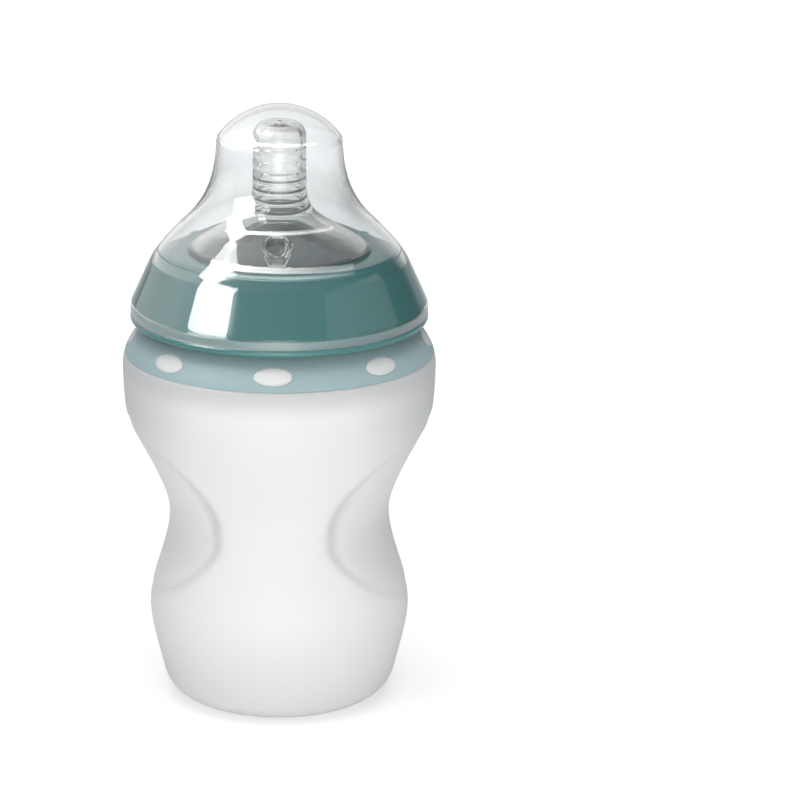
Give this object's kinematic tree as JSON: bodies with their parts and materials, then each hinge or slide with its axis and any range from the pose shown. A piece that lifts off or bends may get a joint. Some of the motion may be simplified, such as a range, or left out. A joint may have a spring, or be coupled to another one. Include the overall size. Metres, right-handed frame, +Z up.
{
  "type": "baby bottle",
  "caption": "Soft waisted baby bottle with side grips, pegged collar, screw ring, ribbed clear teat with air valve, and clear domed cap.",
  "frame": {"origin": "centre of the base, on the surface the bottle stands on", "axes": "+Z up along the bottle's axis; the front, with the air valve, faces -Y; the finger grips face +X and -X"},
  "size_m": [0.081, 0.081, 0.1576],
  "materials": {
    "frosted_silicone": "matt frosted, translucent",
    "pale_green_plastic": "satin",
    "dark_green_plastic": "glossy",
    "clear_silicone": "clear, smooth",
    "clear_plastic": "clear, glossy"
  },
  "bodies": {
    "bottle": {"bottle_body": "frosted_silicone", "collar": "pale_green_plastic"},
    "teat": {"teat": "clear_silicone"},
    "ring": {"screw_ring": "dark_green_plastic"},
    "cap": {"cap": "clear_plastic"}
  },
  "joints": [
    {"name": "teat_rise", "type": "slide", "parent": "bottle", "child": "teat", "axis": [0, 0, 1], "range_m": [0, 0.0056]},
    {"name": "ring_unscrew", "type": "hinge", "parent": "teat", "child": "ring", "pos_m": [0, 0, 0.11], "axis": [0, 0, 1], "range_deg": [0, 400]},
    {"name": "cap_lift", "type": "slide", "parent": "ring", "child": "cap", "axis": [0, 0, 1], "range_m": [0, 0.08]}
  ],
  "couplings": [
    {"joint": "teat_rise", "follows": "ring_unscrew", "m_per_rad": 0.00079577}
  ]
}
